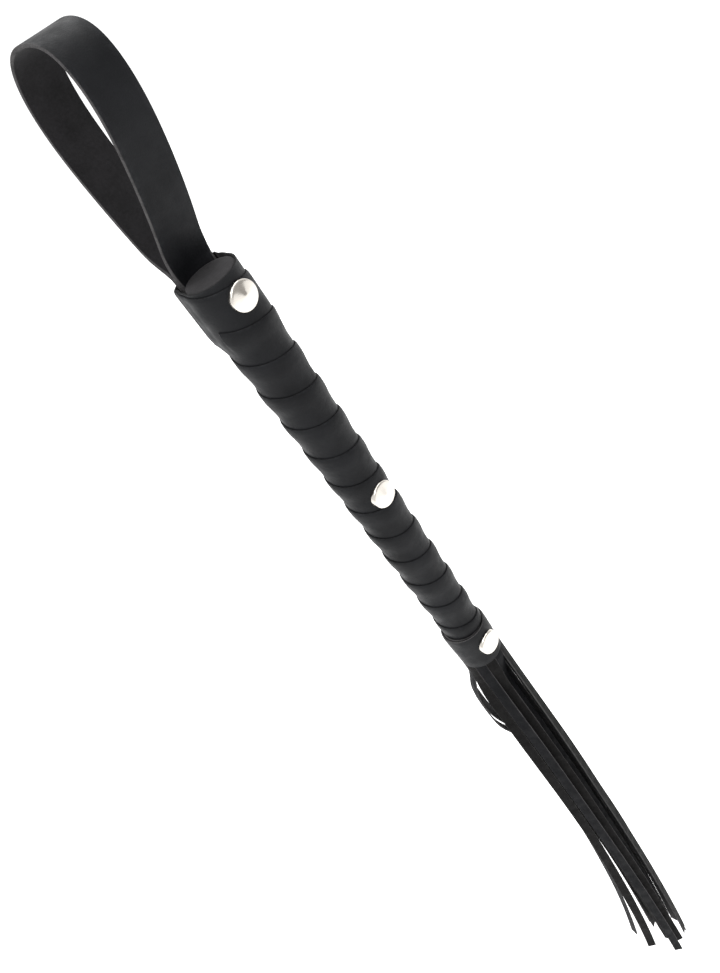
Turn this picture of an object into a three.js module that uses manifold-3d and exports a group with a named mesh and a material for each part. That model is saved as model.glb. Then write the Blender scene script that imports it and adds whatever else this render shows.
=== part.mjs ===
// Short riding whip: a leather-wrapped tapered handle with a wide wrist loop at its upper end, three
// nickel-plated studs down one side, and a lash of narrow leather tails cut from one rolled panel.
// Millimetres, +Z up towards the wrist loop. The origin is the centre of the disc that closes the
// handle's upper end. The studs face -Y and the wrist loop's two ends are tucked in on the +Y side.
import * as THREE from 'three';
import Module from 'manifold-3d';
import { mergeVertices } from 'three/addons/utils/BufferGeometryUtils.js';

// Handle
const GRIP_TOP_RADIUS = 11.55; // outside of one layer of wrap at the disc
const GRIP_TAPER = 0.00976; // radius lost for each millimetre down the handle
const CORE_BOTTOM = -233;
const DISC_RADIUS = 10.4;
const DISC_THICKNESS = 1.8;
const FIT_GAP = 0.25; // clearance between neighbouring pieces

// Wrap strip
const WRAP_THICKNESS = 0.7;
const WRAP_LAYER_GAP = 0.1;
const WRAP_WIDTH = 21.7;
const WRAP_PITCH = 17.2;
const WRAP_TOP = 0.3;
const WRAP_BOTTOM = -216.2;
const FIRST_TURN_END_DEG = 193; // the level first turn ends here and the helix starts
const HELIX_EASE_DEG = 140; // the helix sets in gently over this much either side of that
const WRAP_STEP_DEG = 12;

// Wrist loop
const STRAP_WIDTH = 18.8;
const STRAP_THICKNESS = 1.5;
const STRAP_BASE_DEG = 82; // direction of the tucked ends round the handle
const TUCK_BOTTOM = -25;
const TUCK_TOP = -0.6;
const LOOP_SIDE_OFFSET = 0.8; // sideways offset of the loop at its base
const LOOP_LEAN = 0.115; // sideways lean of the loop for each millimetre up
// The loop's middle line, as y and z: two curves that meet, level, at its top.
const LOOP_BASE = 3;
const LOOP_FRONT_Y = 11.6; // where the front strand leaves the tuck
const LOOP_BACK_Y = 13.5;
const LOOP_TOP = [16, 89];
const LOOP_SHOULDER = 30; // how far each side of the top its curve is pulled level
const LOOP_BELLY = 46; // height towards which the strands set off, and how far out they aim
const LOOP_FRONT_AIM = -8;
const LOOP_BACK_AIM = 37;

// Lash
const PANEL_THICKNESS = 0.75;
const PANEL_ROLL_PITCH = 1.15; // radius gained by each turn of the rolled panel
const PANEL_TOP = -216.5;
const PANEL_SHOULDER = -222;
const PANEL_BOTTOM = -238.5;
const PANEL_TOP_RADIUS = 11.55; // middle of the outermost layer
const PANEL_BOTTOM_RADIUS = 11.0;
const PANEL_END_DEG = 82; // where the rolled panel's outer end lies
const TAIL_PITCH = 5.5; // strip and slit together, measured along the panel
const TAIL_WIDTH = 5.2;
const TAIL_TOP = -239.3;
const TAIL_LENGTH = 362;
// Hanks of tails that hang together: how far each has strayed in x and y by TAIL_LENGTH.
const HANKS = { left: [-18, 18], middle: [-13, 12], front: [-6, 3], right: [-7, 8] };
// Each tail, outermost first: its hank, length beyond TAIL_LENGTH and, for some, its turn round the lash
// in degrees, the share of its radius that it sinks inwards, the part of its length over which it turns
// and sinks, and its outward bow.
const TAILS = [
  { hank: 'right', longer: -18 },
  { hank: 'left', longer: -26, bow: 6 },
  { hank: 'left', longer: -30, bow: 5.5 },
  { hank: 'middle', longer: -16 },
  { hank: 'front', longer: -4 },
  { hank: 'front', longer: -8, turn: -10, sink: 0.4, over: 0.1 },
  { hank: 'right', longer: -14, sink: 0.7, over: 0.08 },
  { hank: 'right', longer: -6 },
  { hank: 'right', longer: 4 },
  { hank: 'right', longer: -3 },
  { hank: 'right', longer: -9 },
  { hank: 'right', longer: -2 },
  { hank: 'right', longer: -12 },
  { hank: 'left', longer: -36 },
  { hank: 'middle', longer: -24 },
  { hank: 'front', longer: -20 },
  { hank: 'front', longer: -12, sink: 0.45, over: 0.1 },
  { hank: 'right', longer: -10, sink: 0.9, over: 0.07 },
];
const BOW_PLACE = 0.11; // where a bowed tail stands out furthest, as a share of its length
const BOW_SPREAD = 0.065;

// Studs
const STUD_HEIGHTS = [-9.5, -117.3, -227];
const STUD_RADIUS = 6;
const NAIL_HOLE_RADIUS = 1.05;

const LEATHER = new THREE.MeshStandardMaterial({ color: 0x1b1c1f, roughness: 0.55, metalness: 0 });
const SUEDE = new THREE.MeshStandardMaterial({ color: 0x2d292e, roughness: 0.95, metalness: 0 });
const WOOD = new THREE.MeshStandardMaterial({ color: 0xb58a58, roughness: 0.7, metalness: 0 });
const NICKEL = new THREE.MeshStandardMaterial({ color: 0xcfcac0, roughness: 0.18, metalness: 1 });
const STEEL = new THREE.MeshStandardMaterial({ color: 0x8c8f94, roughness: 0.4, metalness: 1 });

const wasm = await Module();
wasm.setup();

const radians = (degrees) => (degrees * Math.PI) / 180;
const clamp01 = (value) => Math.min(1, Math.max(0, value));
const ease = (value) => clamp01(value) ** 2 * (3 - 2 * clamp01(value));
const gripRadius = (z) => GRIP_TOP_RADIUS + GRIP_TAPER * z;
const coreRadius = (z) => gripRadius(z) - WRAP_THICKNESS - FIT_GAP;
const polar = (radius, angle, z) => new THREE.Vector3(radius * Math.cos(angle), radius * Math.sin(angle), z);

// A closed solid skinned through sections, each an outer and an inner row of the same number of points.
function slab(sections) {
  const rowLength = sections[0].outer.length;
  const positions = [];
  const index = [];
  for (const { outer, inner } of sections) {
    for (const point of [...outer, ...inner]) positions.push(point.x, point.y, point.z);
  }
  const outerAt = (j, i) => j * 2 * rowLength + i;
  const innerAt = (j, i) => outerAt(j, i) + rowLength;
  const quad = (a, b, c, d) => index.push(a, b, c, a, c, d);
  const last = rowLength - 1;
  for (let j = 0; j + 1 < sections.length; j += 1) {
    for (let i = 0; i < last; i += 1) {
      quad(outerAt(j, i), outerAt(j + 1, i), outerAt(j + 1, i + 1), outerAt(j, i + 1));
      quad(innerAt(j, i), innerAt(j, i + 1), innerAt(j + 1, i + 1), innerAt(j + 1, i));
    }
    quad(outerAt(j, 0), innerAt(j, 0), innerAt(j + 1, 0), outerAt(j + 1, 0));
    quad(outerAt(j, last), outerAt(j + 1, last), innerAt(j + 1, last), innerAt(j, last));
  }
  const end = sections.length - 1;
  for (let i = 0; i < last; i += 1) {
    quad(outerAt(0, i), outerAt(0, i + 1), innerAt(0, i + 1), innerAt(0, i));
    quad(outerAt(end, i), innerAt(end, i), innerAt(end, i + 1), outerAt(end, i + 1));
  }
  const geometry = new THREE.BufferGeometry();
  geometry.setAttribute('position', new THREE.Float32BufferAttribute(positions, 3));
  geometry.setIndex(signedVolume(positions, index) < 0 ? index.reverse() : index);
  return geometry;
}

function signedVolume(positions, index) {
  const corner = (i) => new THREE.Vector3().fromArray(positions, 3 * index[i]);
  let volume = 0;
  for (let i = 0; i < index.length; i += 3) volume += corner(i).dot(corner(i + 1).cross(corner(i + 2))) / 6;
  return volume;
}

function toManifold(geometry) {
  const bare = geometry.clone();
  bare.deleteAttribute('normal');
  bare.deleteAttribute('uv');
  const merged = mergeVertices(bare, 1e-4);
  return new wasm.Manifold(new wasm.Mesh({
    numProp: 3,
    vertProperties: new Float32Array(merged.attributes.position.array),
    triVerts: new Uint32Array(merged.index.array),
  }));
}

function toGeometry(manifold) {
  const mesh = manifold.getMesh();
  const geometry = new THREE.BufferGeometry();
  geometry.setAttribute('position', new THREE.Float32BufferAttribute(mesh.vertProperties, 3));
  geometry.setIndex([...mesh.triVerts]);
  return geometry;
}

// The solid with a radial hole towards -Y for the nail of each stud, down to the given depth.
function withNailHoles(geometry, innerY) {
  let solid = toManifold(geometry);
  for (const height of STUD_HEIGHTS) {
    const length = 20 + innerY;
    const drill = new THREE.CylinderGeometry(NAIL_HOLE_RADIUS, NAIL_HOLE_RADIUS, length, 16);
    drill.translate(0, innerY - length / 2, height);
    solid = solid.subtract(toManifold(drill));
  }
  return toGeometry(solid);
}

function lathe(profile, segments) {
  const points = profile.map(([radius, height]) => new THREE.Vector2(radius, height));
  return new THREE.LatheGeometry(points, segments);
}

// A dowel with a small chamfer at each end.
function core() {
  const top = -DISC_THICKNESS - FIT_GAP;
  const profile = [
    [0, CORE_BOTTOM],
    [coreRadius(CORE_BOTTOM) - 0.8, CORE_BOTTOM],
    [coreRadius(CORE_BOTTOM), CORE_BOTTOM + 0.8],
    [coreRadius(top) - 0.5, top - 0.5],
    [coreRadius(top) - 1, top],
    [0, top],
  ];
  return withNailHoles(lathe(profile, 48).rotateX(Math.PI / 2), -0.8);
}

function endDisc() {
  const profile = [
    [0, -DISC_THICKNESS],
    [DISC_RADIUS, -DISC_THICKNESS],
    [DISC_RADIUS, -0.3],
    [DISC_RADIUS - 0.3, 0],
    [0, 0],
  ];
  return lathe(profile, 48).rotateX(Math.PI / 2);
}

// How far the wrap stands out over the tucked strap ends at this place: over both layers, then over the
// wider front one's edges, then back to the handle.
function tuckBulge(angle, z) {
  const turned = angle - radians(STRAP_BASE_DEG);
  const away = Math.abs(Math.atan2(Math.sin(turned), Math.cos(turned)));
  const overBoth = 1 - ease((away - radians(43.5)) / radians(9));
  const overFront = 1 - ease((away - radians(51)) / radians(30));
  const down = ease((z - TUCK_BOTTOM + 10) / 9);
  return (STRAP_THICKNESS + 0.4) * (overBoth + overFront) * down;
}

// Height of the wrap strip's upper edge at a winding angle in degrees: level at first, then easing into
// the helix over twice HELIX_EASE_DEG.
function upperEdge(winding) {
  const eased = clamp01((winding + HELIX_EASE_DEG) / (2 * HELIX_EASE_DEG)) ** 2 * HELIX_EASE_DEG;
  return WRAP_TOP - (WRAP_PITCH * (winding > HELIX_EASE_DEG ? winding : eased)) / 360;
}

// The wrap: one strip, level for its first turn and then winding down over its own lower edge.
function wrap() {
  const sections = [];
  const lastWinding = ((WRAP_TOP - WRAP_BOTTOM - 2.2) / WRAP_PITCH) * 360;
  for (let winding = -360 - HELIX_EASE_DEG; winding <= lastWinding; winding += WRAP_STEP_DEG) {
    const angle = radians(winding + FIRST_TURN_END_DEG);
    const top = upperEdge(winding);
    const width = Math.min(WRAP_WIDTH, top - WRAP_BOTTOM);
    const helixAngle = winding + HELIX_EASE_DEG;
    const overlap = helixAngle < 0 ? 0 : top - (upperEdge(winding - 360) - WRAP_WIDTH);
    const lift = (WRAP_THICKNESS + WRAP_LAYER_GAP) * clamp01(helixAngle / WRAP_STEP_DEG + 2);
    const stations = [0, Math.min(overlap + 0.4, width - 1.2), Math.min(overlap + 3.4, width - 0.6), width];
    const outer = [];
    const inner = [];
    for (const drop of stations) {
      const z = top - drop;
      const under = (turns) => clamp01(1 - (upperEdge(winding - 360 * turns) - WRAP_WIDTH - z - 0.4) / 3);
      const raised = lift * (under(1) + (winding < 360 ? 0 : under(2)));
      const base = gripRadius(z) + tuckBulge(angle, z) + (helixAngle < 0 && lift > 0 ? lift : raised);
      outer.push(polar(base, angle, z));
      inner.push(polar(base - WRAP_THICKNESS, angle, z));
    }
    sections.push({ outer, inner });
  }
  return withNailHoles(slab(sections), -4);
}

// One layer of a tucked strap end, curved round the core.
function tuckedEnd(innerRadius) {
  const half = STRAP_WIDTH / 2 / (innerRadius + STRAP_THICKNESS / 2);
  const sections = [];
  for (let i = 0; i <= 12; i += 1) {
    const angle = radians(STRAP_BASE_DEG) + half * (i / 6 - 1);
    const row = (radius) => [polar(radius, angle, TUCK_TOP), polar(radius, angle, TUCK_BOTTOM)];
    sections.push({ outer: row(innerRadius + STRAP_THICKNESS), inner: row(innerRadius) });
  }
  return slab(sections);
}

function loopLine() {
  const at = (y, z) => new THREE.Vector3(0, y, z);
  const [topY, topZ] = LOOP_TOP;
  const line = new THREE.CurvePath();
  line.add(new THREE.CubicBezierCurve3(
    at(LOOP_FRONT_Y, LOOP_BASE), at(LOOP_FRONT_AIM, LOOP_BELLY), at(topY - LOOP_SHOULDER, topZ), at(topY, topZ),
  ));
  line.add(new THREE.CubicBezierCurve3(
    at(topY, topZ), at(topY + LOOP_SHOULDER, topZ), at(LOOP_BACK_AIM, LOOP_BELLY), at(LOOP_BACK_Y, LOOP_BASE),
  ));
  return line;
}

function strapLoop() {
  const line = loopLine();
  const across = new THREE.Vector3(1, 0, -LOOP_LEAN).normalize().multiplyScalar(STRAP_WIDTH / 2);
  const steps = 72;
  const sections = [];
  for (let i = 0; i <= steps; i += 1) {
    const middle = line.getPoint(i / steps);
    const tangent = line.getTangent(i / steps);
    const normal = new THREE.Vector3(0, -tangent.z, tangent.y).multiplyScalar(STRAP_THICKNESS / 2);
    middle.x = LOOP_SIDE_OFFSET + LOOP_LEAN * middle.z;
    const row = (side) => [-1, 1].map((edge) => middle.clone()
      .addScaledVector(across, edge)
      .addScaledVector(normal, side));
    sections.push({ outer: row(1), inner: row(-1) });
  }
  return slab(sections);
}

// Radius of the middle of the rolled panel's outermost layer at a height.
function panelRadius(z) {
  const down = clamp01((PANEL_SHOULDER - z) / (PANEL_SHOULDER - PANEL_BOTTOM));
  return PANEL_TOP_RADIUS + (PANEL_BOTTOM_RADIUS - PANEL_TOP_RADIUS) * down;
}

// Angle round the roll, from its outer end, at a distance along the panel.
function rollAngle(distance) {
  const shrink = PANEL_ROLL_PITCH / (4 * Math.PI);
  const root = Math.sqrt(PANEL_BOTTOM_RADIUS ** 2 - 4 * shrink * distance);
  return (PANEL_BOTTOM_RADIUS - root) / (2 * shrink);
}

// The uncut top of the panel that the tails are cut from, rolled round the core's lower end.
function fringeHeader() {
  const whole = rollAngle(TAILS.length * TAIL_PITCH);
  const steps = Math.round(whole / radians(9));
  const heights = [PANEL_TOP, PANEL_SHOULDER, PANEL_BOTTOM];
  const sections = [];
  for (let i = 0; i <= steps; i += 1) {
    const roll = (whole * i) / steps;
    const angle = radians(PANEL_END_DEG) + roll;
    const row = (side) => heights.map((z) => {
      const radius = panelRadius(z) - (PANEL_ROLL_PITCH * roll) / (2 * Math.PI);
      return polar(radius + (side * PANEL_THICKNESS) / 2, angle, z);
    });
    sections.push({ outer: row(1), inner: row(-1) });
  }
  return withNailHoles(slab(sections), -4);
}

// One tail: a flat strip that follows its own line down the lash. down is the height below the tail's
// top as a share of TAIL_LENGTH.
function tail(number) {
  const { hank, longer, turn = 0, sink = 0, over = 0.2, bow = 0 } = TAILS[number];
  const roll = rollAngle((number + 0.5) * TAIL_PITCH);
  const rootRadius = PANEL_BOTTOM_RADIUS - (PANEL_ROLL_PITCH * roll) / (2 * Math.PI);
  const angleAt = (down) => radians(PANEL_END_DEG) + roll + radians(turn) * ease(down / over);
  const place = (down) => {
    const bulge = bow * Math.exp(-(((down - BOW_PLACE) / BOW_SPREAD) ** 4));
    const radius = rootRadius * (1 - sink * ease(down / over)) + bulge;
    const point = polar(radius, angleAt(down), TAIL_TOP - down * TAIL_LENGTH);
    point.x += HANKS[hank][0] * down ** 3;
    point.y += HANKS[hank][1] * down ** 3;
    return point;
  };
  const steps = 28;
  const sections = [];
  for (let i = 0; i <= steps; i += 1) {
    const down = (1 + longer / TAIL_LENGTH) * (i / steps) ** 1.25;
    const middle = place(down);
    const tangent = place(down + 0.004).sub(place(Math.max(0, down - 0.004))).normalize();
    const around = new THREE.Vector3(-Math.sin(angleAt(down)), Math.cos(angleAt(down)), 0);
    const across = around.addScaledVector(tangent, -around.dot(tangent)).normalize();
    const outward = new THREE.Vector3().crossVectors(tangent, across);
    const row = (side) => [-1, 1].map((edge) => middle.clone()
      .addScaledVector(across, (edge * TAIL_WIDTH) / 2)
      .addScaledVector(outward, (side * PANEL_THICKNESS) / 2));
    sections.push({ outer: row(1), inner: row(-1) });
  }
  return slab(sections);
}

// Radius of the leather under each stud.
const studSeats = [
  gripRadius(STUD_HEIGHTS[0]) + WRAP_THICKNESS + WRAP_LAYER_GAP,
  gripRadius(STUD_HEIGHTS[1]) + WRAP_THICKNESS + WRAP_LAYER_GAP,
  panelRadius(STUD_HEIGHTS[2]) + PANEL_THICKNESS / 2,
];

function facingMinusY(geometry, seat, height) {
  return geometry.rotateX(Math.PI).translate(0, -seat, height);
}

// A pressed shell: a shallow cone with a rounded tip and a short skirt that follows the handle.
function studCap(number) {
  const seat = studSeats[number] + 0.1;
  const profile = [
    [0, 1.35], [4.5, 0.28], [STUD_RADIUS - 0.5, 0.05], [STUD_RADIUS - 0.5, -2.4], [STUD_RADIUS, -2.4],
    [STUD_RADIUS, 0.15], [STUD_RADIUS - 0.25, 0.5], [STUD_RADIUS - 0.9, 0.75],
    [1.3, 1.82], [0.5, 1.95], [0, 1.97],
  ];
  const shell = facingMinusY(lathe(profile, 36), seat, STUD_HEIGHTS[number]);
  const handle = new THREE.CylinderGeometry(seat, seat, 24, 96).rotateX(Math.PI / 2);
  handle.translate(0, 0, STUD_HEIGHTS[number]);
  return toGeometry(toManifold(shell).subtract(toManifold(handle)));
}

function studNail(number) {
  const seat = studSeats[number] + 0.1;
  const profile = [[0, -9.6], [0.8, -8.4], [0.8, 0.12], [2.6, 0.12], [2.6, 0.5], [0, 0.6]];
  return facingMinusY(lathe(profile, 20), seat, STUD_HEIGHTS[number]);
}

const whip = new THREE.Group();
whip.name = 'riding_whip';

function add(name, geometry, material) {
  const mesh = new THREE.Mesh(geometry, material.clone());
  mesh.name = name;
  whip.add(mesh);
}

const frontTuckRadius = coreRadius(0) + FIT_GAP;
add('handle_core', core(), WOOD);
add('end_disc', endDisc(), SUEDE);
add('handle_wrap', wrap(), LEATHER);
add('strap_tuck_front', tuckedEnd(frontTuckRadius), LEATHER);
add('strap_tuck_back', tuckedEnd(frontTuckRadius + STRAP_THICKNESS + FIT_GAP), LEATHER);
add('strap_loop', strapLoop(), LEATHER);
add('fringe_header', fringeHeader(), LEATHER);
TAILS.forEach((_, number) => add(`tail_${String(number + 1).padStart(2, '0')}`, tail(number), LEATHER));
STUD_HEIGHTS.forEach((_, number) => {
  add(`stud_cap_${number + 1}`, studCap(number), NICKEL);
  add(`stud_nail_${number + 1}`, studNail(number), STEEL);
});

export default whip;
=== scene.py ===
"""Short riding whip: leather-wrapped handle with a wide wrist loop, three studs and a lash of cut tails."""
import math
import random

import bmesh
import bpy
from mathutils import Matrix, Vector, noise


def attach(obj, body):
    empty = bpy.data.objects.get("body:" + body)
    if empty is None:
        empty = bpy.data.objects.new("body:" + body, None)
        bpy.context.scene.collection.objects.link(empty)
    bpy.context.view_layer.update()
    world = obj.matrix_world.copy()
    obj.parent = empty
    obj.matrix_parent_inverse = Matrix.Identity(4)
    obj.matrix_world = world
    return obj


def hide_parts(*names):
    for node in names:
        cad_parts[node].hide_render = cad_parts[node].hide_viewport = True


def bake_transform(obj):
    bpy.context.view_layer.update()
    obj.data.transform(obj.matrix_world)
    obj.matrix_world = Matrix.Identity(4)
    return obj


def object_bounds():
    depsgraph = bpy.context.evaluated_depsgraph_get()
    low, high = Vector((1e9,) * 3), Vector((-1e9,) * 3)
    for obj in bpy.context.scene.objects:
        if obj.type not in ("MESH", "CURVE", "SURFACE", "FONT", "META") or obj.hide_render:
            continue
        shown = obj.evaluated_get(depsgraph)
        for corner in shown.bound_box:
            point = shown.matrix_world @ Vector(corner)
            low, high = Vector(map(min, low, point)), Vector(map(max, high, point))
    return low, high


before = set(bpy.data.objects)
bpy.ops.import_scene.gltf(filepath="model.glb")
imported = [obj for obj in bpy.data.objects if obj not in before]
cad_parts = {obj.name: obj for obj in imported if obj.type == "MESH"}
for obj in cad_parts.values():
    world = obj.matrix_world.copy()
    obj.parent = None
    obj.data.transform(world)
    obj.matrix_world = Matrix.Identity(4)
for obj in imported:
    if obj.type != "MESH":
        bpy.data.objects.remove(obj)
cad_low, cad_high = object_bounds()

MM = 0.001

# Handle, in millimetres as in the CAD part
GRIP_TOP_RADIUS = 11.55
GRIP_TAPER = 0.00976
DISC_RADIUS = 10.4
DISC_THICKNESS = 1.8
WRAP_THICKNESS = 0.7
WRAP_LAYER_GAP = 0.1
WRAP_WIDTH = 21.7
WRAP_PITCH = 17.2
WRAP_TOP = 0.3
WRAP_BOTTOM = -216.2
HEM = 3  # how far the wrap's lower end runs on under the header
FIRST_TURN_END_DEG = 193
HELIX_EASE_DEG = 140
WRAP_STEP_DEG = 5

# Wrist loop
STRAP_WIDTH = 18.8
STRAP_THICKNESS = 1.5
STRAP_BASE_DEG = 82
TUCK_BOTTOM = -24
FRONT_TUCK_RADIUS = 11.6
BACK_TUCK_RADIUS = 13.4
CUP_FLAT_HEIGHT = 15  # the strap is curved round the handle at its base and flat above this height
LOOP_SIDE_OFFSET = 0.8
LOOP_LEAN = 0.115
# The loop's middle line, as y and z: two curves that meet, level, at its top
LOOP_BASE = 3
LOOP_FRONT_Y = 11.6
LOOP_BACK_Y = 13.5
LOOP_TOP = (16, 89)
LOOP_SHOULDER = 30
LOOP_BELLY = 46
LOOP_FRONT_AIM = -8
LOOP_BACK_AIM = 37

# Lash
PANEL_THICKNESS = 0.75
PANEL_ROLL_PITCH = 1.15
PANEL_TOP = -216.5
PANEL_SHOULDER = -222
PANEL_BOTTOM = -238.5
PANEL_TOP_RADIUS = 11.55
PANEL_BOTTOM_RADIUS = 11.0
PANEL_END_DEG = 82
CORE_BOTTOM = -233
TAIL_PITCH = 5.5
TAIL_WIDTH = 5.35
TAIL_TOP = -238.5
TAIL_LENGTH = 362
TAIL_SPLIT = 0.037  # share of a tail's length that belongs to the header's piece
SPLIT_STEPS = 8  # rows of points down a tail where it is still part of the header
TAIL_STEPS = 78  # and down the rest of it
# Hanks of tails that hang together: how far each has strayed in x and y by TAIL_LENGTH
HANKS = {"left": (-18, 18), "middle": (-13, 12), "front": (-6, 3), "right": (-7, 8)}
# Each tail, outermost first: its hank, length beyond TAIL_LENGTH, and what sets it apart from OTHERWISE
TAILS = [
    ("right", -18, {}),
    ("left", -26, {"bow": 6, "twist": -6}),
    ("left", -30, {"bow": 5.5, "twist": -10}),
    ("middle", -16, {"face_turn": 40, "stand_out": 1.2}),
    ("front", -4, {"twist": -5}),
    ("front", -8, {"turn": -10, "sink": 0.4, "over": 0.1}),
    ("right", -14, {"sink": 0.7, "over": 0.08, "twist": 30}),
    ("right", -6, {"twist": 8}),
    ("right", 4, {}),
    ("right", -3, {}),
    ("right", -9, {}),
    ("right", -2, {}),
    ("right", -12, {}),
    ("left", -36, {"twist": -5}),
    ("middle", -24, {"twist": 4}),
    ("front", -20, {"twist": -4}),
    ("front", -12, {"sink": 0.45, "over": 0.1}),
    ("right", -10, {"sink": 0.9, "over": 0.07, "twist": 20}),
]
# turn round the lash in degrees, share of the radius that it sinks inwards, the part of its length over
# which it turns and sinks, outward bow, twist in degrees, and how far it faces round and stands out at once
OTHERWISE = {"turn": 0, "sink": 0, "over": 0.2, "bow": 0, "twist": 0, "face_turn": 0, "stand_out": 0}
BOW_PLACE = 0.11
BOW_SPREAD = 0.065
INNER_TAILS = (5, 6, 12, 13, 14, 15, 16, 17)  # these move with the lash as a whole

# Studs
STUD_HEIGHTS = (-9.5, -117.3, -227)
STUD_RADIUS = 6
STUD_PEAK = 1.97

# Camera, in the row frame
CAMERA_PLACE = (-153.6, -299.2, 130.8)
CAMERA_RIGHT = (0.5624, -0.6759, -0.4763)
CAMERA_UP = (0.741, 0.1563, 0.6531)
LENS_MM = 24.264
SENSOR_HEIGHT_MM = 24

FLOOR_HALF_SIDE = 12.0  # metres
FLOOR_DROP = 0.16  # the floor's distance below the tails' tips, in metres
FLOOR_GLOW = 0.3  # keeps the floor white into its far corners
DARK_SIDE = (0.4, -0.91, 0.0)  # where the studio is dimmest

rng = random.Random(11)


# ---------- small helpers ----------

def clamp01(value):
    return min(1.0, max(0.0, value))


def ease(value):
    value = clamp01(value)
    return value * value * (3 - 2 * value)


def mix(a, b, share):
    return a + (b - a) * share


def polar(radius, angle, z):
    return Vector((radius * math.cos(angle), radius * math.sin(angle), z))


def ripple(point, size, seed):
    """A smooth random number from -1 to 1 that varies over about size millimetres."""
    return noise.noise(Vector(point) / size + Vector((seed, seed * 0.37, seed * 1.9)))


def grip_radius(z):
    return GRIP_TOP_RADIUS + GRIP_TAPER * z


def bezier(a, b, c, d, share):
    """Point on a cubic curve from a to d that sets off towards b and arrives from c."""
    rest = 1 - share
    return rest ** 3 * a + 3 * rest ** 2 * share * b + 3 * rest * share ** 2 * c + share ** 3 * d


# ---------- materials ----------

def add_node(material, kind, **settings):
    node = material.node_tree.nodes.new(kind)
    for key, value in settings.items():
        setattr(node, key, value)
    return node


def new_material(name):
    material = bpy.data.materials.new(name)
    material.use_nodes = True
    return material, material.node_tree.nodes["Principled BSDF"], material.node_tree.links


def noise_node(material, coordinates, scale, detail=4.0, roughness=0.55):
    node = add_node(material, "ShaderNodeTexNoise")
    node.inputs["Scale"].default_value = scale
    node.inputs["Detail"].default_value = detail
    node.inputs["Roughness"].default_value = roughness
    material.node_tree.links.new(coordinates, node.inputs["Vector"])
    return node


def ramp_node(material, factor, stops):
    node = add_node(material, "ShaderNodeValToRGB")
    for i, (place, colour) in enumerate(stops):
        element = node.color_ramp.elements[i] if i < 2 else node.color_ramp.elements.new(place)
        element.position = place
        element.color = (*colour, 1.0)
    material.node_tree.links.new(factor, node.inputs["Fac"])
    return node


def grey(value):
    return (value, value, value)


def bump_node(material, height, strength, distance_mm, before=None):
    node = add_node(material, "ShaderNodeBump")
    node.inputs["Strength"].default_value = strength
    node.inputs["Distance"].default_value = distance_mm * MM
    material.node_tree.links.new(height, node.inputs["Height"])
    if before:
        material.node_tree.links.new(before, node.inputs["Normal"])
    return node.outputs["Normal"]


def leather(name, dark, light, rough, grain=1.0, shine=0.13, worn_and_highlight=0.35):
    """Dyed leather: fine cell grain, faint creases, cloudy colour and paler edges, partly edge rubbing and
    partly a painted highlight.
    """
    material, shader, links = new_material(name)
    coordinates = add_node(material, "ShaderNodeTexCoord").outputs["Object"]
    clouds = noise_node(material, coordinates, 45, 6)
    colour = ramp_node(material, clouds.outputs["Fac"], [(0.3, dark), (0.72, light)])
    # Paler colour along the rims, broken up by noise: partly edge rubbing, partly a painted highlight along
    # the wrap's seams.
    wear_and_highlight = add_node(material, "ShaderNodeAttribute", attribute_name="wear_and_highlight")
    scuff_and_highlight_noise = noise_node(material, coordinates, 420, 5, 0.7)
    scuff_and_highlight_ramp = ramp_node(material, scuff_and_highlight_noise.outputs["Fac"], [(0.42, grey(0.0)), (0.72, grey(worn_and_highlight))])
    amount = add_node(material, "ShaderNodeMath", operation="MULTIPLY")
    links.new(wear_and_highlight.outputs["Fac"], amount.inputs[0])
    links.new(scuff_and_highlight_ramp.outputs["Color"], amount.inputs[1])
    blend = add_node(material, "ShaderNodeMix", data_type="RGBA")
    blend.inputs["B"].default_value = (*[3.0 * value + 0.01 for value in light], 1.0)
    links.new(amount.outputs["Value"], blend.inputs["Factor"])
    links.new(colour.outputs["Color"], blend.inputs["A"])
    links.new(blend.outputs["Result"], shader.inputs["Base Color"])

    gloss = noise_node(material, coordinates, 160, 5)
    smooth, dull = grey(rough - 0.09), grey(rough + 0.12)
    gloss_ramp = ramp_node(material, gloss.outputs["Fac"], [(0.3, smooth), (0.7, dull)])
    links.new(gloss_ramp.outputs["Color"], shader.inputs["Roughness"])

    cells = add_node(material, "ShaderNodeTexVoronoi", feature="DISTANCE_TO_EDGE")
    cells.inputs["Scale"].default_value = 1150
    links.new(coordinates, cells.inputs["Vector"])
    pebbles = ramp_node(material, cells.outputs["Distance"], [(0.0, grey(0.0)), (0.18, grey(1.0))])
    fine = noise_node(material, coordinates, 3800, 3)
    creases = noise_node(material, coordinates, 260, 8, 0.62)
    normal = bump_node(material, creases.outputs["Fac"], 0.35 * grain, 0.35)
    normal = bump_node(material, pebbles.outputs["Color"], 0.32 * grain, 0.05, normal)
    normal = bump_node(material, fine.outputs["Fac"], 0.25 * grain, 0.03, normal)
    links.new(normal, shader.inputs["Normal"])
    shader.inputs["Specular IOR Level"].default_value = shine
    return material


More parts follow.
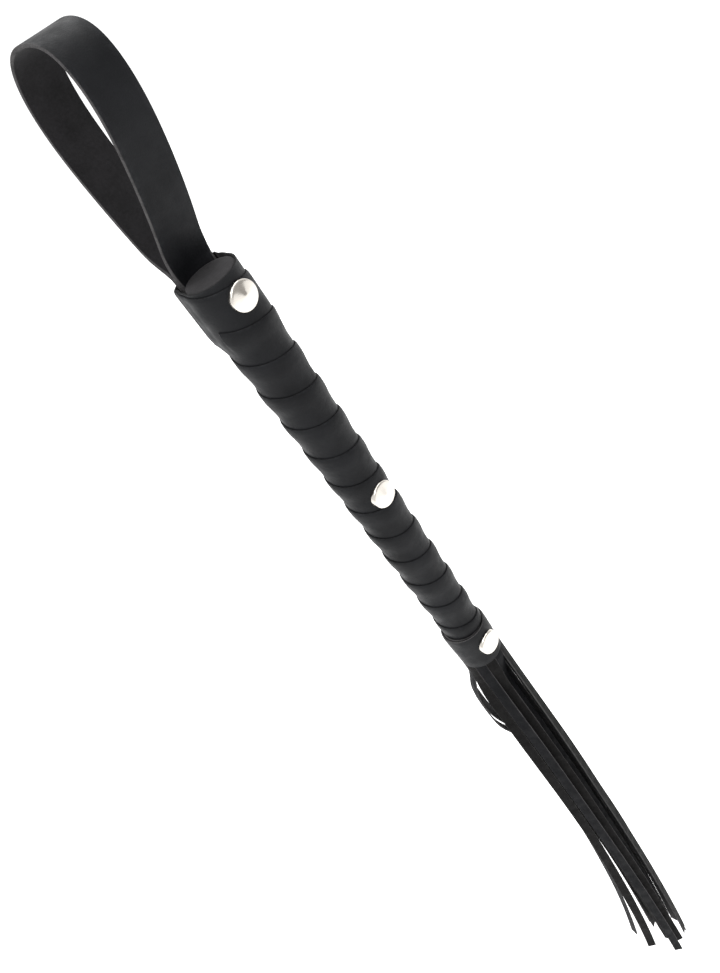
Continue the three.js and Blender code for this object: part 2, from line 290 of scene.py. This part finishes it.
def raw_leather(name, dark, light, fibre_scale, rough=0.9, sheen=0.0):
    """Undyed or cut leather: matt, fibrous, uneven in colour."""
    material, shader, links = new_material(name)
    coordinates = add_node(material, "ShaderNodeTexCoord").outputs["Object"]
    fibres = noise_node(material, coordinates, fibre_scale, 8, 0.72)
    patches = noise_node(material, coordinates, fibre_scale / 9, 4)
    both = add_node(material, "ShaderNodeMath", operation="MULTIPLY_ADD")
    both.inputs[1].default_value = 0.55
    links.new(fibres.outputs["Fac"], both.inputs[0])
    share = add_node(material, "ShaderNodeMath", operation="MULTIPLY")
    share.inputs[1].default_value = 0.45
    links.new(patches.outputs["Fac"], share.inputs[0])
    links.new(share.outputs["Value"], both.inputs[2])
    colour = ramp_node(material, both.outputs["Value"], [(0.34, dark), (0.66, light)])
    links.new(colour.outputs["Color"], shader.inputs["Base Color"])
    normal = bump_node(material, fibres.outputs["Fac"], 0.6, 0.12)
    links.new(normal, shader.inputs["Normal"])
    shader.inputs["Roughness"].default_value = rough
    shader.inputs["Specular IOR Level"].default_value = 0.25
    shader.inputs["Sheen Weight"].default_value = sheen
    shader.inputs["Sheen Roughness"].default_value = 0.5
    return material


def polished_metal(name, colour, rough):
    """Plated metal: fine scratches, faint clouding and small marks."""
    material, shader, links = new_material(name)
    coordinates = add_node(material, "ShaderNodeTexCoord").outputs["Object"]
    clouds = noise_node(material, coordinates, 300, 5)
    clouded = [0.88 * value for value in colour]
    tone = ramp_node(material, clouds.outputs["Fac"], [(0.3, clouded), (0.7, colour)])
    links.new(tone.outputs["Color"], shader.inputs["Base Color"])
    stretch = add_node(material, "ShaderNodeMapping")
    stretch.inputs["Scale"].default_value = (500, 500, 6000)
    stretch.inputs["Rotation"].default_value = (0.0, 0.6, 0.0)
    links.new(coordinates, stretch.inputs["Vector"])
    scratches = noise_node(material, stretch.outputs["Vector"], 1.0, 4)
    smears = ramp_node(material, clouds.outputs["Fac"], [(0.25, grey(rough)), (0.8, grey(rough + 0.12))])
    links.new(smears.outputs["Color"], shader.inputs["Roughness"])
    links.new(bump_node(material, scratches.outputs["Fac"], 0.06, 0.02), shader.inputs["Normal"])
    shader.inputs["Metallic"].default_value = 1.0
    return material


def turned_wood(name):
    material, shader, links = new_material(name)
    coordinates = add_node(material, "ShaderNodeTexCoord").outputs["Object"]
    stretch = add_node(material, "ShaderNodeMapping")
    stretch.inputs["Scale"].default_value = (900, 900, 25)
    links.new(coordinates, stretch.inputs["Vector"])
    rings = noise_node(material, stretch.outputs["Vector"], 1.0, 6, 0.6)
    colour = ramp_node(material, rings.outputs["Fac"], [(0.3, (0.33, 0.2, 0.1)), (0.7, (0.62, 0.43, 0.24))])
    links.new(colour.outputs["Color"], shader.inputs["Base Color"])
    links.new(bump_node(material, rings.outputs["Fac"], 0.3, 0.08), shader.inputs["Normal"])
    shader.inputs["Roughness"].default_value = 0.7
    return material


WRAP_LEATHER = leather("wrap_leather", (0.0036, 0.0038, 0.0045), (0.0085, 0.009, 0.0105), 0.5)
STRAP_LEATHER = leather("strap_leather", (0.004, 0.0043, 0.005), (0.009, 0.0095, 0.011), 0.52, 1.1)
LASH_LEATHERS = [
    leather("lash_leather_cool", (0.0022, 0.0024, 0.003), (0.0055, 0.0058, 0.007), 0.62, 1.0, 0.05),
    leather("lash_leather_warm", (0.003, 0.0028, 0.0028), (0.007, 0.0065, 0.0063), 0.66, 1.2, 0.05),
]
CUT_EDGE = raw_leather("cut_edge", (0.018, 0.0175, 0.018), (0.075, 0.072, 0.073), 1500)
# The wrap's cut edges are nearly black: partly a dyed edge, partly a painted shadow line along each seam.
DYED_EDGE_AND_SEAM_SHADOW = raw_leather("wrap_edge_dye_and_seam_shadow", (0.003, 0.003, 0.0032), (0.012, 0.012, 0.0125), 1500)
SUEDE = raw_leather("suede_back", (0.004, 0.0038, 0.0042), (0.014, 0.013, 0.0145), 900, 0.95, 0.05)
DISC_LEATHER = raw_leather("disc_leather", (0.007, 0.0065, 0.007), (0.02, 0.0185, 0.0205), 700, 0.85, 0.05)
NICKEL = polished_metal("nickel", (0.78, 0.74, 0.68), 0.1)
STEEL = polished_metal("steel", (0.55, 0.56, 0.58), 0.3)
WOOD = turned_wood("core_wood")


# ---------- mesh building ----------

def corner(end, beside, opposite, bevel):
    """The two points that bevel a band's corner: one on its face, one on its edge."""
    on_face = end + (beside - end).normalized() * bevel
    on_edge = end + (opposite - end).normalized() * bevel
    return on_face, on_edge


def band_ring(outer, inner, bevel):
    """One closed section: the outer row, an edge, the inner row backwards and the other edge."""
    first_face, first_edge = corner(outer[0], outer[1], inner[0], bevel)
    last_face, last_edge = corner(outer[-1], outer[-2], inner[-1], bevel)
    first_back, first_low = corner(inner[0], inner[1], outer[0], bevel)
    last_back, last_low = corner(inner[-1], inner[-2], outer[-1], bevel)
    front = [first_face, *outer[1:-1], last_face]
    back = [last_back, *reversed(inner[1:-1]), first_back]
    return [*front, last_edge, last_low, *back, first_low, first_edge]


class Mesh:
    """Gathers bands of leather into one object with a face, an edge and a back material."""

    def __init__(self):
        self.points = []
        self.faces = []
        self.slots = []
        self.wear_and_highlight = []

    def add_band(self, sections, bevel=0.12, face_slot=0, end_caps=(True, True)):
        """Skins a band through sections, each an outer and an inner row of points in millimetres."""
        across = len(sections[0][0])
        start = len(self.points)
        for outer, inner in sections:
            ring = band_ring(outer, inner, bevel)
            self.points += ring
            # Rim points get the paler colour: edge rubbing, and on the wrap's seams a painted highlight.
            rim = [2 * abs(i / (across - 1) - 0.5) for i in range(across)]
            near = [clamp01((value - 0.72) / 0.28) for value in rim]
            self.wear_and_highlight += [*near, 1, 1, *[0] * across, 1, 1]
        size = 2 * across + 4
        for j in range(len(sections) - 1):
            for i in range(size):
                a, b = start + j * size + i, start + j * size + (i + 1) % size
                self.faces.append((a, a + size, b + size, b))
                if i < across - 1:
                    self.slots.append(face_slot)
                elif across + 2 <= i < 2 * across + 1:
                    self.slots.append(2)
                else:
                    self.slots.append(1)
        for closed, base in zip(end_caps, (start, start + (len(sections) - 1) * size)):
            if closed:
                self.add_cap(base, across, size)

    def add_cap(self, base, across, size):
        """Closes a band's end with quads from its outer row to its inner one."""
        back = [base + size - 3 - i for i in range(across)]
        for i in range(across - 1):
            self.faces.append((base + i, base + i + 1, back[i + 1], back[i]))
            self.slots.append(1)
        self.faces.append((base, back[0], base + size - 2, base + size - 1))
        self.faces.append((base + across - 1, base + across, base + across + 1, back[-1]))
        self.slots += [1, 1]

    def build(self, name, materials, sharp_deg=38):
        data = bpy.data.meshes.new(name)
        data.from_pydata([point * MM for point in self.points], [], self.faces)
        for material in materials:
            data.materials.append(material)
        data.polygons.foreach_set("material_index", self.slots)
        data.attributes.new("wear_and_highlight", "FLOAT", "POINT").data.foreach_set("value", self.wear_and_highlight)
        data.validate()
        return place_mesh(name, data, sharp_deg)


def place_mesh(name, data, sharp_deg):
    """Puts a mesh into the scene, with its faces turned outwards and shaded smooth."""
    work = bmesh.new()
    work.from_mesh(data)
    bmesh.ops.recalc_face_normals(work, faces=work.faces)
    work.to_mesh(data)
    work.free()
    data.polygons.foreach_set("use_smooth", [True] * len(data.polygons))
    data.set_sharp_from_angle(angle=math.radians(sharp_deg))
    piece = bpy.data.objects.new(name, data)
    bpy.context.collection.objects.link(piece)
    return piece


def lathe(name, profile, segments, to_place, material, sharp_deg=38):
    """Turns a profile of (radius, height) pairs; to_place(radius, angle, height) gives each point in mm."""
    points = []
    faces = []
    for radius, height in profile:
        points += [to_place(radius, 2 * math.pi * i / segments, height) for i in range(segments)]
    for j in range(len(profile) - 1):
        for i in range(segments):
            k = (i + 1) % segments
            faces.append((j * segments + i, j * segments + k, (j + 1) * segments + k, (j + 1) * segments + i))
    for j in (0, len(profile) - 1):
        middle = len(points)
        points.append(sum(points[j * segments:(j + 1) * segments], Vector()) / segments)
        faces += [(middle, j * segments + i, j * segments + (i + 1) % segments) for i in range(segments)]
    data = bpy.data.meshes.new(name)
    data.from_pydata([point * MM for point in points], [], faces)
    data.materials.append(material)
    data.attributes.new("wear_and_highlight", "FLOAT", "POINT")
    return place_mesh(name, data, sharp_deg)


def cross_row(middle, across, outward, width, thickness, bend, count):
    """Outer and inner rows across a strip. bend is the strip's curvature, positive with its edges inwards."""
    outer = []
    inner = []
    for i in range(count):
        along = width * (i / (count - 1) - 0.5)
        turn = bend * along
        side = math.sin(turn) / bend if abs(bend) > 1e-5 else along
        sag = (1 - math.cos(turn)) / bend if abs(bend) > 1e-5 else 0.0
        normal = outward * math.cos(turn) + across * math.sin(turn)
        point = middle + across * side - outward * sag
        outer.append(point + normal * thickness / 2)
        inner.append(point - normal * thickness / 2)
    return outer, inner


# ---------- wrist loop ----------

def loop_line(share):
    """Point on the loop's middle line, from the front strand's base over the top to the back one's."""
    top_y, top_z = LOOP_TOP
    top = Vector((0, top_y, top_z))
    shoulder = Vector((0, LOOP_SHOULDER, 0))
    if share < 0.5:
        base = Vector((0, LOOP_FRONT_Y, LOOP_BASE))
        return bezier(base, Vector((0, LOOP_FRONT_AIM, LOOP_BELLY)), top - shoulder, top, 2 * share)
    base = Vector((0, LOOP_BACK_Y, LOOP_BASE))
    return bezier(top, top + shoulder, Vector((0, LOOP_BACK_AIM, LOOP_BELLY)), base, 2 * share - 1)


def strap_stations():
    """The strap's whole middle line from one tucked end to the other."""
    count = 130
    line = [loop_line(i / count) for i in range(count + 1)]
    drops = [-24, -20, -15, -10, -6, -3, 0]
    front = [Vector((0, mix(FRONT_TUCK_RADIUS, LOOP_FRONT_Y, ease((z + 8) / 10)), z)) for z in drops]
    back = [Vector((0, mix(BACK_TUCK_RADIUS, LOOP_BACK_Y, ease((z + 8) / 10)), z)) for z in reversed(drops)]
    return front + line + back


def strap():
    """One strap from its tucked front end over the loop and down to its tucked back end."""
    stations = strap_stations()
    half = len(stations) / 2
    sections = []
    for i, station in enumerate(stations):
        before = stations[max(i - 1, 0)]
        after = stations[min(i + 1, len(stations) - 1)]
        tangent = (after - before).normalized()
        height = station.z
        at_base = 1 - ease(height / CUP_FLAT_HEIGHT)
        turn = math.radians(STRAP_BASE_DEG - 90) * at_base
        across = Vector((1, 0, -LOOP_LEAN * (1 - at_base))).normalized()
        outward = Vector((0, -tangent.z, tangent.y)).normalized()
        spin = Matrix.Rotation(turn, 3, "Z")
        middle = spin @ station
        middle.x += (LOOP_SIDE_OFFSET + LOOP_LEAN * max(height, 0)) * (1 - 0.8 * at_base)
        side = -1 if i < half else 1
        radius = FRONT_TUCK_RADIUS if i < half else BACK_TUCK_RADIUS
        bend = side * at_base / radius
        if at_base < 0.999:
            bend += 0.006 * ripple((0, 0, i * 0.9), 14, 3.0) * (1 - at_base)
        twist = math.radians(2.2) * ripple((0, 0, i * 0.8), 26, 8.0) * (1 - at_base)
        roll = Matrix.Rotation(twist, 3, tangent)
        sections.append(cross_row(middle, roll @ (spin @ across), roll @ (spin @ outward),
                                  STRAP_WIDTH, STRAP_THICKNESS, bend, 15))
    mesh = Mesh()
    mesh.add_band(sections, 0.22)
    piece = mesh.build("wrist_strap", [STRAP_LEATHER, CUT_EDGE, SUEDE])
    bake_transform(piece)
    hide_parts("strap_loop", "strap_tuck_front", "strap_tuck_back")


# ---------- handle ----------

def end_disc():
    profile = [(0.5, -DISC_THICKNESS), (DISC_RADIUS, -DISC_THICKNESS)]
    rounded_rim = [(0, -0.55), (0.08, -0.28), (0.3, -0.1), (0.65, 0)]
    profile += [(DISC_RADIUS - inset, height) for inset, height in rounded_rim]
    profile += [(radius, -0.02) for radius in (9.0, 7.5, 6, 4.5, 3, 1.5, 0.5)]

    def to_place(radius, angle, height):
        point = polar(radius, angle, height)
        dent = 0.1 * ripple(point, 5, 2.0) - 0.06 if height > -0.2 else 0.0
        return point + Vector((0, 0, dent))

    piece = lathe("end_disc_leather", profile, 96, to_place, DISC_LEATHER)
    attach(piece, "handle")
    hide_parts("end_disc")


def tuck_bulge(angle, z):
    """How far the wrap stands out over the tucked strap ends: over both layers, then the front one."""
    turned = angle - math.radians(STRAP_BASE_DEG)
    away = abs(math.atan2(math.sin(turned), math.cos(turned)))
    over_both = 1 - ease((away - math.radians(43.5)) / math.radians(9))
    over_front = 1 - ease((away - math.radians(51)) / math.radians(30))
    down = ease((z - TUCK_BOTTOM + 11) / 9)
    return (STRAP_THICKNESS + 0.4) * (over_both + over_front) * down


def upper_edge(winding):
    """Height of the wrap's upper edge at a winding angle in degrees: level, then easing into the helix."""
    if winding > HELIX_EASE_DEG:
        return WRAP_TOP - WRAP_PITCH * winding / 360
    eased = clamp01((winding + HELIX_EASE_DEG) / (2 * HELIX_EASE_DEG)) ** 2 * HELIX_EASE_DEG
    return WRAP_TOP - WRAP_PITCH * eased / 360


def layers_under(winding, z):
    """How many earlier turns lie under this one here, fading out below each one's lower edge."""
    total = 0.0
    for turns in (1, 2):
        if turns == 1 or winding >= 360:
            total += 1 - ease((upper_edge(winding - 360 * turns) - WRAP_WIDTH - z + 0.6) / 9)
    return total


def wrap():
    """The wrap: one strip, level for its first turn and then winding down over its own lower edge."""
    last = (WRAP_TOP - WRAP_BOTTOM - 2.2) / WRAP_PITCH * 360
    first = -360 - HELIX_EASE_DEG
    sections = []
    for step in range(int((last - first) / WRAP_STEP_DEG) + 1):
        winding = first + step * WRAP_STEP_DEG
        helix_angle = winding + HELIX_EASE_DEG
        angle = math.radians(winding + FIRST_TURN_END_DEG)
        wander = 0.22 * ripple((winding / 57.3, 0, 0), 1.3, 5.0) * clamp01(helix_angle / 60)
        top = upper_edge(winding) + wander
        width = min(WRAP_WIDTH, top - WRAP_BOTTOM + HEM)
        overlap = 0.0 if helix_angle < 0 else top - (upper_edge(winding - 360) - WRAP_WIDTH)
        lift = (WRAP_THICKNESS + WRAP_LAYER_GAP) * clamp01(helix_angle / 12 + 2)
        outer = []
        inner = []
        for drop in wrap_drops(overlap, width):
            z = top - drop
            raised = lift if helix_angle < 0 else lift * layers_under(winding, z)
            hem = ease((WRAP_BOTTOM - z) / 1.2)  # below its CAD end it runs on, thin, under the header
            base = grip_radius(z) + tuck_bulge(angle, z) + raised * (1 - hem) - 0.1 * hem
            skived = 0.34 * clamp01(1 - drop / 1.6) ** 1.5 * clamp01(helix_angle / 30)
            soft = 0.05 * ripple(polar(base, angle, z), 6, 1.0)
            soft += 0.04 * ripple(polar(base, angle, z * 2.5), 2.6, 4.0)
            outer.append(polar(base + soft - skived, angle, z))
            inner.append(polar(base + soft - WRAP_THICKNESS, angle, z))
        sections.append((outer, inner))
    mesh = Mesh()
    mesh.add_band(sections, 0.08)
    # Its edges take the nearly black edge leather, which also paints the shadow line along each seam.
    piece = mesh.build("handle_wrap_leather", [WRAP_LEATHER, DYED_EDGE_AND_SEAM_SHADOW, SUEDE])
    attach(piece, "handle")
    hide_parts("handle_wrap")


def wrap_drops(overlap, width):
    """Places down the strip from its upper edge: close together at the edge and over the step."""
    places = [0, 0.4, 1.1, 2.4]
    places += [mix(2.4, max(overlap, 2.6), share) for share in (0.5, 1.0)]
    places += [max(overlap, 2.6) + step for step in (0.7, 1.4, 2.2, 3.1, 4.2)]
    limit = places[-1]
    places += [mix(limit, max(width, limit + 1), share) for share in (0.25, 0.5, 0.75, 1.0)]
    scale = min(1.0, width / places[-1])
    return [place * scale for place in places]


# ---------- lash ----------

def panel_radius(z):
    down = clamp01((PANEL_SHOULDER - z) / (PANEL_SHOULDER - PANEL_BOTTOM))
    return mix(PANEL_TOP_RADIUS, PANEL_BOTTOM_RADIUS, down)


def roll_angle(distance):
    """Angle round the roll, from its outer end, at a distance along the panel."""
    shrink = PANEL_ROLL_PITCH / (4 * math.pi)
    root = math.sqrt(PANEL_BOTTOM_RADIUS ** 2 - 4 * shrink * distance)
    return (PANEL_BOTTOM_RADIUS - root) / (2 * shrink)


def tail_place(number, down):
    """A tail's middle line, the directions across it and outwards, and its bend, at a share of its height."""
    hank, _, own = TAILS[number]
    ways = {**OTHERWISE, **own}
    roll = roll_angle((number + 0.5) * TAIL_PITCH)
    root_radius = PANEL_BOTTOM_RADIUS - PANEL_ROLL_PITCH * roll / (2 * math.pi)

    def angle_at(share):
        return math.radians(PANEL_END_DEG) + roll + math.radians(ways["turn"]) * ease(share / ways["over"])

    def place(share):
        bulge = ways["bow"] * math.exp(-(((share - BOW_PLACE) / BOW_SPREAD) ** 4))
        radius = root_radius * (1 - ways["sink"] * ease(share / ways["over"])) + bulge
        radius += ways["stand_out"] * ease(share / 0.08)
        point = polar(radius, angle_at(share), TAIL_TOP - share * TAIL_LENGTH)
        loose = 0.5 * ease(share / 0.2)
        height = (0, 0, share * TAIL_LENGTH)
        point.x += HANKS[hank][0] * max(share, 0) ** 3 + loose * ripple(height, 95, number * 3.1 + 1)
        point.y += HANKS[hank][1] * max(share, 0) ** 3 + loose * ripple(height, 80, number * 2.3 + 40)
        return point

    middle = place(down)
    tangent = (place(down + 0.004) - place(max(0.0, down - 0.004))).normalized()
    around = Vector((-math.sin(angle_at(down)), math.cos(angle_at(down)), 0))
    across = (around - tangent * around.dot(tangent)).normalized()
    turned = math.radians(ways["twist"]) * ease((down - 0.02) / 0.35)
    turned -= math.radians(ways["face_turn"]) * ease((down - 0.01) / 0.08)
    turned += math.radians(4) * ease(down / 0.3) * ripple((0, 0, down * TAIL_LENGTH), 70, number * 1.7)
    across = Matrix.Rotation(turned, 3, tangent) @ across
    outward = tangent.cross(across)
    curl = (1 - ease(down / 0.13)) / root_radius + 0.05 * ease(down / 0.3) * ripple(
        (0, 0, down * TAIL_LENGTH), 60, number * 2.9 + 9)
    return middle, across, outward, curl


def tail_sections(number, start, end, steps):
    sections = []
    for i in range(steps + 1):
        down = mix(start, end, i / steps)
        middle, across, outward, curl = tail_place(number, down)
        width = TAIL_WIDTH * (1 + 0.03 * ripple((0, 0, down * TAIL_LENGTH), 40, number + 0.5))
        sections.append(cross_row(middle, across, outward, width, PANEL_THICKNESS, curl, 7))
    return sections


def header():
    """The rolled, uncut top of the panel with the first stretch of each tail that is cut from it."""
    mesh = Mesh()
    heights = [PANEL_TOP, -216.9, -217.8, -219.5, -221.5, -224, -226.5, -229, -231, -233, -235.5, -237.4]
    heights.append(PANEL_BOTTOM)
    whole = roll_angle(len(TAILS) * TAIL_PITCH)
    steps = int(math.degrees(whole) / 4)
    sections = []
    for i in range(steps + 1):
        roll = whole * i / steps
        angle = math.radians(PANEL_END_DEG) + roll
        outer = []
        inner = []
        for z in heights:
            radius = panel_radius(z) - PANEL_ROLL_PITCH * roll / (2 * math.pi)
            above_cuts = ease((PANEL_BOTTOM + 5 - z) / -4)
            crease = -0.22 * math.exp(-(((z - CORE_BOTTOM - 0.5) / 2.2) ** 2)) * above_cuts
            lip = -0.12 * clamp01(1 - (PANEL_TOP - z) / 1.2)
            soft = 0.06 * ripple(polar(radius, angle, z), 5, 6.0) * ease((z - PANEL_BOTTOM) / 3)
            radius += crease + lip + soft
            outer.append(polar(radius + PANEL_THICKNESS / 2, angle, z))
            inner.append(polar(radius - PANEL_THICKNESS / 2, angle, z))
        sections.append((outer, inner))
    mesh.add_band(sections, 0.1)
    for number in range(len(TAILS)):
        mesh.add_band(tail_sections(number, 0.0, TAIL_SPLIT, SPLIT_STEPS), 0.1, 3 + number % 2, (True, False))
    piece = mesh.build("fringe_header_leather", [WRAP_LEATHER, CUT_EDGE, SUEDE, *LASH_LEATHERS])
    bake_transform(piece)
    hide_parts("fringe_header")


def tail(number):
    """One tail below the header's piece, down to its cut tip."""
    mesh = Mesh()
    end = 1 + TAILS[number][1] / TAIL_LENGTH
    sections = tail_sections(number, TAIL_SPLIT, end, TAIL_STEPS)
    slant = rng.uniform(-0.9, 0.9)
    outer, inner = sections[-1]
    for i in range(len(outer)):
        cut = Vector((0, 0, slant * (i / (len(outer) - 1) - 0.5) * 2))
        outer[i] += cut
        inner[i] += cut
    mesh.add_band(sections, 0.1, 0, (False, True))
    piece = mesh.build(f"tail_{number + 1:02d}_leather", [LASH_LEATHERS[number % 2], CUT_EDGE, SUEDE])
    if number in INNER_TAILS:
        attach(piece, "lash")
    else:
        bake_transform(piece)
    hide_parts(f"tail_{number + 1:02d}")


# ---------- studs ----------

def stud(number):
    """A shallow cone with a small rounded peak and a skirt that follows the handle."""
    height = STUD_HEIGHTS[number]
    if number < 2:
        seat = grip_radius(height) + WRAP_THICKNESS + WRAP_LAYER_GAP
    else:
        seat = panel_radius(height) + PANEL_THICKNESS / 2
    profile = [(0.05, STUD_PEAK), (0.3, 1.96), (0.6, 1.91), (0.9, 1.83), (1.25, 1.73)]
    profile += [(mix(1.25, 4.9, i / 8), mix(1.73, 0.86, i / 8)) for i in range(1, 9)]
    profile += [(5.3, 0.75), (5.6, 0.63), (5.82, 0.45), (5.94, 0.24)]
    profile += [(STUD_RADIUS, 0.02), (STUD_RADIUS, -0.4)]

    def to_place(radius, angle, rise):
        x, up = radius * math.cos(angle), radius * math.sin(angle)
        out = seat + 0.12 + rise
        if rise < 0:
            out = math.sqrt(seat ** 2 - x ** 2) - 0.15
        return Vector((x, -out, height + up))

    piece = lathe(f"stud_{number + 1}_nickel", profile, 96, to_place, NICKEL, 50)
    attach(piece, "handle")
    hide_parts(f"stud_cap_{number + 1}")


def finish_cad_nodes():
    """The nodes that stay as they are get their materials."""
    looks = {"handle_core": WOOD}
    looks.update({f"stud_nail_{i + 1}": STEEL for i in range(3)})
    for name, material in looks.items():
        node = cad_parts[name]
        node.data.materials.clear()
        node.data.materials.append(material)


# ---------- floor, light, camera ----------

def floor():
    low = cad_low[2] - FLOOR_DROP
    data = bpy.data.meshes.new("floor")
    side = FLOOR_HALF_SIDE
    corners = [(-side, -side, low), (side, -side, low), (side, side, low), (-side, side, low)]
    data.from_pydata(corners, [], [(0, 1, 2, 3)])
    material, shader, links = new_material("floor_white")
    coordinates = add_node(material, "ShaderNodeTexCoord").outputs["Object"]
    clouds = noise_node(material, coordinates, 3, 2)
    tone = ramp_node(material, clouds.outputs["Fac"], [(0.3, grey(0.93)), (0.7, grey(0.95))])
    links.new(tone.outputs["Color"], shader.inputs["Base Color"])
    shader.inputs["Roughness"].default_value = 0.9
    shader.inputs["Emission Color"].default_value = (1.0, 1.0, 1.0, 1.0)
    shader.inputs["Emission Strength"].default_value = FLOOR_GLOW
    data.materials.append(material)
    piece = bpy.data.objects.new("floor", data)
    bpy.context.collection.objects.link(piece)


def area_light(name, place, target, size, power, colour=(1, 1, 1)):
    data = bpy.data.lights.new(name, "AREA")
    data.shape = "RECTANGLE"
    data.size, data.size_y = size
    data.energy = power
    data.color = colour
    light = bpy.data.objects.new(name, data)
    light.location = place
    light.rotation_euler = (Vector(target) - Vector(place)).to_track_quat("-Z", "Y").to_euler()
    bpy.context.collection.objects.link(light)


def lights():
    """A white room, dimmer on the side the studs face, with a soft key from the left and one from above."""
    world = bpy.data.worlds.new("studio")
    world.use_nodes = True
    nodes, links = world.node_tree.nodes, world.node_tree.links
    direction = nodes.new("ShaderNodeTexCoord")
    facing = nodes.new("ShaderNodeVectorMath")
    facing.operation = "DOT_PRODUCT"
    facing.inputs[1].default_value = Vector(DARK_SIDE).normalized()
    links.new(direction.outputs["Generated"], facing.inputs[0])
    shade = nodes.new("ShaderNodeValToRGB")
    shade.color_ramp.elements[0].position = 0.5
    shade.color_ramp.elements[0].color = (1.0, 1.0, 1.0, 1.0)
    shade.color_ramp.elements[1].position = 1.0
    shade.color_ramp.elements[1].color = (0.42, 0.41, 0.4, 1.0)
    links.new(facing.outputs["Value"], shade.inputs["Fac"])
    links.new(shade.outputs["Color"], nodes["Background"].inputs["Color"])
    nodes["Background"].inputs["Strength"].default_value = 1.0
    bpy.context.scene.world = world
    area_light("key", (-0.55, -0.55, 0.75), (0, 0, -0.15), (0.7, 0.7), 5)
    area_light("overhead", (0.1, 0.6, 1.6), (0, 0, -0.6), (3.0, 3.0), 60)


def camera():
    data = bpy.data.cameras.new("camera")
    data.sensor_fit = "VERTICAL"
    data.sensor_height = SENSOR_HEIGHT_MM
    data.lens = LENS_MM
    data.clip_start = 0.01
    right = Vector(CAMERA_RIGHT).normalized()
    up = Vector(CAMERA_UP)
    up = (up - right * up.dot(right)).normalized()
    back = right.cross(up)
    view = Matrix((right, up, back)).transposed().to_4x4()
    view.translation = Vector(CAMERA_PLACE) * MM
    eye = bpy.data.objects.new("camera", data)
    eye.matrix_world = view
    bpy.context.collection.objects.link(eye)
    bpy.context.scene.camera = eye


camera()
floor()
lights()
finish_cad_nodes()
strap()
end_disc()
wrap()
header()
for tail_number in range(len(TAILS)):
    tail(tail_number)
for stud_number in range(len(STUD_HEIGHTS)):
    stud(stud_number)

bpy.context.scene.view_settings.view_transform = "Standard"
